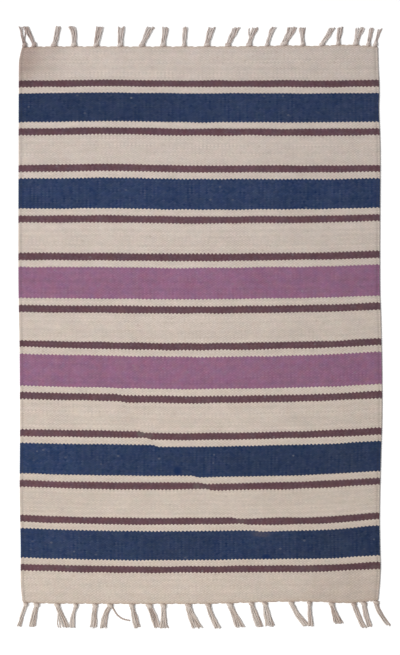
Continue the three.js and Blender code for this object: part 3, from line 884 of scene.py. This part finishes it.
def tubeFaces(run, facing, height, closed):
    # A square for each side of each step, with what its four corners carry
    count, steps, sides = facing.shape
    rounds = steps if closed else steps - 1
    i, s, k = np.meshgrid(np.arange(count), np.arange(rounds), np.arange(sides), indexing="ij")
    nextStep, nextSide = (s + 1) % steps, (k + 1) % sides
    corners = ((s, k), (s, nextSide), (nextStep, nextSide), (nextStep, k))
    faces = np.stack([(i * steps + step) * sides + side for step, side in corners], -1).reshape(-1, 4)
    along = np.stack([run[i, s], run[i, s], run[i, s + 1], run[i, s + 1]], -1) / mm
    around = np.stack([k, k + 1, k + 1, k], -1) / sides
    stepAt = np.stack([s, s, s + 1, s + 1], -1) / steps
    facing = np.stack([facing[i, step, side] for step, side in corners], -1)
    height = np.stack([height[i, step] for step, _ in corners], -1)
    maps = {"run": np.stack([along, around], -1), "cell": np.stack([stepAt, around], -1),
            "open": np.stack([facing, height], -1)}
    maps = {name: values.reshape(-1, 4, 2) for name, values in maps.items()}
    maps["yarn"] = i.reshape(-1)
    maps["step"] = np.stack([step for step, _ in corners], -1).reshape(-1, 4)
    return (faces, maps) if closed else closeEnds(faces, maps, count, steps, sides)


def closeEnds(faces, maps, count, steps, sides):
    # Two squares close the six corners at each end of a yarn
    first = np.arange(count)[:, None] * steps * sides
    starts = np.concatenate([first + [3, 2, 1, 0], first + [5, 4, 3, 0]])
    ends = np.concatenate([first + [0, 1, 2, 3], first + [0, 3, 4, 5]]) + (steps - 1) * sides
    lids = np.concatenate([starts, ends])
    lidYarn = np.tile(np.arange(count), 4)
    lidStep = np.repeat([0, steps - 1], 2 * count)[:, None] * np.ones((1, 4), int)
    blank = np.zeros((len(lids), 4, 2))
    blank[..., 0] = lidStep / steps
    lidMaps = {"run": blank, "cell": blank, "open": blank + [0, 0.5], "yarn": lidYarn, "step": lidStep}
    return np.concatenate([faces, lids]), {name: np.concatenate([maps[name], lidMaps[name]]) for name in maps}


def wayToKnot(end, at, warps, slack):
    # Each warp end leaves the weave, is drawn along its end to the knot and goes through it
    side, edge, count = end["side"], end["edge"], len(warps)
    order = np.arange(count)
    place = order / (count - 1) - 0.5
    fromMiddle = np.abs(order - (count - 1) / 2)
    startOut, startHeight = tassel["start"]
    leavingShare, leavingOut, leavingHeight = tassel["leaving"]
    drawnShare, drawnHeight, perYarn = tassel["drawn"]
    drawnAt = warps + drawnShare * (at - warps)
    stations = [
        (warps, edge(warps) + side * startOut, startHeight),
        (warps + leavingShare * (at - warps), edge(warps) + side * leavingOut, leavingHeight),
        (drawnAt, edge(drawnAt) + side * slack, drawnHeight + perYarn * fromMiddle),
    ]
    for part, out in (("entering", tassel["enteringOut"]), ("within", knot["out"])):
        width, height, rise = tassel[part]
        stations.append((at + place * width, edge(at) + side * out, height + rise * (order % 2)))
    return stations


def looseYarns(end, number, count):
    # How far each yarn drifts away from its tassel, and from which share of the way
    drift, looseFrom = np.zeros(count), np.ones(count)
    for owner, which, start, distance in end["loose"]:
        if owner == number:
            drift[which] = distance * mm
            looseFrom[which] = start
    return drift, looseFrom


def tasselYarns(end, number, warps, dice):
    # From its knot each warp end lies on the floor in one of the tassel's cords, which are loosely twisted.
    # The result has stations along each yarn.
    at, lean, cords, tipWidth, bow = end["tassels"][number]
    at, lean, tipWidth, bow = at * mm, lean * mm, tipWidth * mm, bow * mm
    count, radius = len(warps), yarn["radius"]
    reach = np.interp(at, [-panel["width"] / 2, panel["width"] / 2], end["reach"])
    reach = (reach - end["worn"].get(number, 0)) * mm
    order = np.arange(count)
    cord = order * cords // count
    mates = np.bincount(cord)[cord]
    beside = cord - (cords - 1) / 2
    phase = 2 * math.pi * (order - np.searchsorted(cord, cord)) / mates
    phase += dice.uniform(*tassel["anyTurn"], cords)[cord]
    twist = (dice.uniform(*tassel["twist"], cords) * dice.choice([-1, 1], cords))[cord]
    sway = dice.uniform(*tassel["sway"], cords)[cord]
    swayTurn = dice.uniform(*tassel["swayTurn"], cords)[cord]
    swayStart = dice.uniform(*tassel["anyTurn"], cords)[cord]
    restlessStart = dice.uniform(*tassel["anyTurn"], count)
    longer = dice.uniform(-tassel["trim"], tassel["trim"], count) / reach
    stations = wayToKnot(end, at, warps, dice.uniform(*tassel["slack"]))

    drift, looseFrom = looseYarns(end, number, count)
    rises = np.array(tassel["cordHeight"])
    high = radius * rises[np.minimum(mates, len(rises)) - 1]
    leastHalf, narrower = tassel["cordWidth"]
    restless, restlessTurn = tassel["restless"]
    for t in np.arange(1, tassel["stations"] + 1) / tassel["stations"]:
        reached = t * (1 + longer)
        pitch = tassel["cordPitch"] * (1 - t) + tipWidth / cords * t
        angle = phase + twist * t
        loose = ease((t - looseFrom) / (tassel["looseBy"] - looseFrom)) * (drift != 0)
        x = at + lean * reached + bow * 4 * reached * (1 - reached) + beside * pitch
        x += sway * ease(t / tassel["swayFrom"]) * np.sin(swayTurn * t + swayStart)
        x += restless * np.sin(restlessTurn * t + restlessStart) + drift * loose
        x += np.maximum(leastHalf, pitch / 2 - narrower * radius) * np.cos(angle) * (1 - loose)
        y = end["edge"](at) + end["side"] * (knot["out"] + (reach - knot["out"]) * reached)
        z = radius + high * (1 + np.sin(angle)) * (1 - loose)
        z += tassel["knotRise"] * (1 - ease(t / tassel["settled"]))
        stations.append((x, y, z))
    return np.stack([np.stack(np.broadcast_arrays(*station), -1) for station in stations], 1)


def fringeYarns(end, dice):
    # Every warp goes to the knot that is nearest to it. The last yarn of each tassel is named as well.
    knotsAt = np.array([row[0] for row in end["tassels"]]) * mm
    left = -panel["width"] / 2 - wander(edges["left"], end["side"] * panel["length"] / 2)
    right = panel["width"] / 2 + wander(edges["right"], end["side"] * panel["length"] / 2)
    warps = left + (np.arange(panel["warps"]) + 0.5) / panel["warps"] * (right - left)
    taker = np.searchsorted((knotsAt[1:] + knotsAt[:-1]) / 2, warps)
    stations = [tasselYarns(end, j, warps[taker == j], dice) for j in range(len(knotsAt))]
    if end["stray"]:
        stations.append(strayStations(end, len(stations[0][0])))
    return np.concatenate(stations), np.cumsum(np.bincount(taker)) - 1


def strayStations(end, count):
    # One yarn that slipped its knot and lies in a curve of its own
    across, beyond = np.array(end["stray"]).T
    t = np.linspace(0, len(across) - 1, count)
    x = smoothCurve(np.arange(len(across)), across, t) * mm
    y = end["edge"](x) + end["side"] * smoothCurve(np.arange(len(beyond)), beyond, t) * mm
    z = np.maximum(yarn["radius"], panel["thickness"] / 2 * (1 - t))
    return np.stack([x, y, z], -1)[None]


def knotWraps(end, dice):
    # The knot is a barrel of yarns laid over and under the tassel in tilted rings
    rings = []
    outward = []
    angle = 2 * math.pi * np.arange(knot["wrapSteps"]) / knot["wrapSteps"]
    least, perCord = knot["halfWidth"]
    halfLength = knot["wrapPitch"] * (knot["wraps"] - 1) / 2
    for at, _, cords, _, _ in end["tassels"]:
        halfWidth = (least + cords * perCord) * dice.uniform(*knot["widthVaries"])
        tilt = knot["tilt"] * dice.uniform(*knot["tiltVaries"])
        for w in np.linspace(-1, 1, knot["wraps"]):
            size = 1 - knot["barrel"] * w * w
            x = at * mm + halfWidth * size * dice.uniform(*knot["wrapVaries"]) * np.cos(angle)
            x += knot["tuck"] * (w == -1)
            y = end["edge"](at * mm) + end["side"] * (knot["out"] + halfLength * w + tilt * np.cos(angle))
            z = yarn["radius"] + knot["halfHeight"] * size * (1 + np.sin(angle))
            rings.append(np.stack([x, y, z], -1))
            outward.append(np.stack([np.cos(angle), 0 * angle, np.sin(angle)], -1))
    return np.array(rings), np.array(outward)[:, :, None]


def makeFringe(name, end, material):
    dice = np.random.default_rng(end["seed"])
    stations, outermost = fringeYarns(end, dice)
    places = np.linspace(0, stations.shape[1] - 1, yarn["steps"])
    paths = smoothCurve(np.arange(stations.shape[1]), stations.transpose(1, 0, 2), places).transpose(1, 0, 2)
    first, taken = yarn["swells"]
    swollen = yarn["drawn"] + (1 - yarn["drawn"]) * ease((places - first) / taken)
    radii = yarn["radius"] * swollen * np.ones((len(paths), 1))
    radii *= 1 + dice.normal(0, yarn["uneven"], (len(paths), 1))
    if end["stray"]:
        radii[-1] = yarn["radius"] * yarn["strayRadius"]
    loose = tubes(paths, radii, (0, 0, 1), np.array([0, 0, 1]), False)
    wraps, outward = knotWraps(end, dice)
    bound = tubes(wraps, yarn["radius"] * np.ones(wraps.shape[:2]), knot["upright"], outward, True)

    # Low tones are painted shade: each tassel's right yarn, the stray yarn and each knot's turn next to the
    # weave
    looseTone = dice.uniform(0, 1, len(paths))
    looseTone[outermost] *= yarn["rightTone"]
    if end["stray"]:
        looseTone[-1] = 0
    boundTone = dice.uniform(0, 1, len(wraps))
    boundTone[::knot["wraps"]] = 0  # the turn next to the weave, tucked under and painted dark as the shadow beneath the knot
    part, fade = yarn["drawnLook"]
    looseFell = 1 - ease((np.arange(yarn["steps"]) / yarn["steps"] - part) / fade)
    boundFell = np.full(knot["wrapSteps"], knot["drawnLook"])
    total = len(paths) + len(wraps)
    looseMaps = yarnMaps(loose[2], looseTone, looseFell, 0, total)
    boundMaps = yarnMaps(bound[2], boundTone, boundFell, len(paths), total)
    points = np.concatenate([loose[0], bound[0]])
    faces = np.concatenate([loose[1], bound[1] + len(loose[0])])
    maps = {title: np.concatenate([looseMaps[title], boundMaps[title]]) for title in looseMaps}
    return makePiece(name, points, faces, maps, material)


def yarnMaps(maps, tone, fell, first, total):
    # The maps that the yarn's material reads, and the bake's
    tones = np.repeat(tone[maps["yarn"]][:, None], 4, 1)
    return {
        "yarnRun": maps["run"],
        "yarnTone": np.stack([tones, fell[maps["step"]]], -1),
        "yarnOpen": maps["open"],
        "OFBake": bakeCells(maps, first, total),
    }


def bakeCells(maps, first, total):
    # Every yarn has a strip of its own in the bake's map, and the strips stand in a few rows
    strip = first + maps["yarn"]
    inRow = math.ceil(total / yarn["bakeRows"])
    around, along = yarn["bakeMargins"]
    u = (strip % inRow)[:, None] + around + (1 - 2 * around) * maps["cell"][..., 1]
    v = (strip // inRow)[:, None] + along + (1 - 2 * along) * maps["cell"][..., 0]
    return np.stack([u / inRow, v / yarn["bakeRows"]], -1)


# Floor, light and camera

studio = {
    "frameHeight": 1087.3 * mm,  # of floor that the picture's height takes in
    "aim": (0.25 * mm, -4.3 * mm),
    "roll": math.radians(-0.195),
    "cameraHeight": 3.0,
    "sunDirection": (-0.75, 0.08, 1.0),
    "sunStrength": 2.34,
    "sunAngle": math.radians(8),
    "overheadPlace": (-0.3, -0.1, 1.3),
    "overheadSize": 0.7,
    "overheadPower": 4.0,
    "skyStrength": 0.292,
    "floorSize": 14,
    "floorColour": (0.97, 0.97, 0.97, 1),
    "floorGlow": 0.08,
}


def makeFloor():
    bpy.ops.mesh.primitive_plane_add(size=studio["floorSize"])
    floor = bpy.context.object
    floor.name = "floor"
    material = bpy.data.materials.new("pale floor")
    material.use_nodes = True
    shader = material.node_tree.nodes["Principled BSDF"]
    shader.inputs["Base Color"].default_value = studio["floorColour"]
    shader.inputs["Emission Color"].default_value = (1, 1, 1, 1)
    shader.inputs["Emission Strength"].default_value = studio["floorGlow"]
    shader.inputs["Roughness"].default_value = 0.8
    shader.inputs["Specular IOR Level"].default_value = 0.1
    floor.data.materials.append(material)


def makeLight():
    light = bpy.data.lights.new("window", "SUN")
    light.energy = studio["sunStrength"]
    light.angle = studio["sunAngle"]
    lamp = bpy.data.objects.new("window", light)
    lamp.rotation_mode = "QUATERNION"
    lamp.rotation_quaternion = Vector(studio["sunDirection"]).to_track_quat("Z", "Y")
    bpy.context.scene.collection.objects.link(lamp)
    softbox = bpy.data.lights.new("softbox", "AREA")
    softbox.shape = "DISK"
    softbox.size = studio["overheadSize"]
    softbox.energy = studio["overheadPower"]
    above = bpy.data.objects.new("softbox", softbox)
    above.location = studio["overheadPlace"]
    above.visible_camera = False
    bpy.context.scene.collection.objects.link(above)
    world = bpy.data.worlds.new("studio")
    world.use_nodes = True
    sky = world.node_tree.nodes["Background"]
    sky.inputs["Color"].default_value = (1, 1, 1, 1)
    sky.inputs["Strength"].default_value = studio["skyStrength"]
    bpy.context.scene.world = world


def makeCamera():
    # A long lens from straight above, so that the photo's frame takes in its own stretch of floor
    camera = bpy.data.cameras.new("camera")
    distance = studio["cameraHeight"] - panel["thickness"]
    camera.lens = camera.sensor_width / 2 / (studio["frameHeight"] / 2 / distance)
    place = bpy.data.objects.new("camera", camera)
    place.location = (*studio["aim"], studio["cameraHeight"])
    place.rotation_euler = (0, 0, studio["roll"])
    bpy.context.scene.collection.objects.link(place)
    bpy.context.scene.camera = place


makeCamera()
makeFloor()
makeLight()
bpy.context.scene.view_settings.view_transform = "Standard"
print("stage: camera, floor and light")

panelPiece = makePanel(weaveMaterial())
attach(panelPiece, "root")
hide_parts("woven_panel")
print("stage: woven panel", len(panelPiece.data.polygons), "faces")

yarnLook = yarnMaterial()
for name, end, node in (("fringeFar", farEnd, "fringe_far"), ("fringeNear", nearEnd, "fringe_near")):
    piece = makeFringe(name, end, yarnLook)
    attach(piece, "root")
    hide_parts(node)
    print("stage:", name, len(piece.data.polygons), "faces")
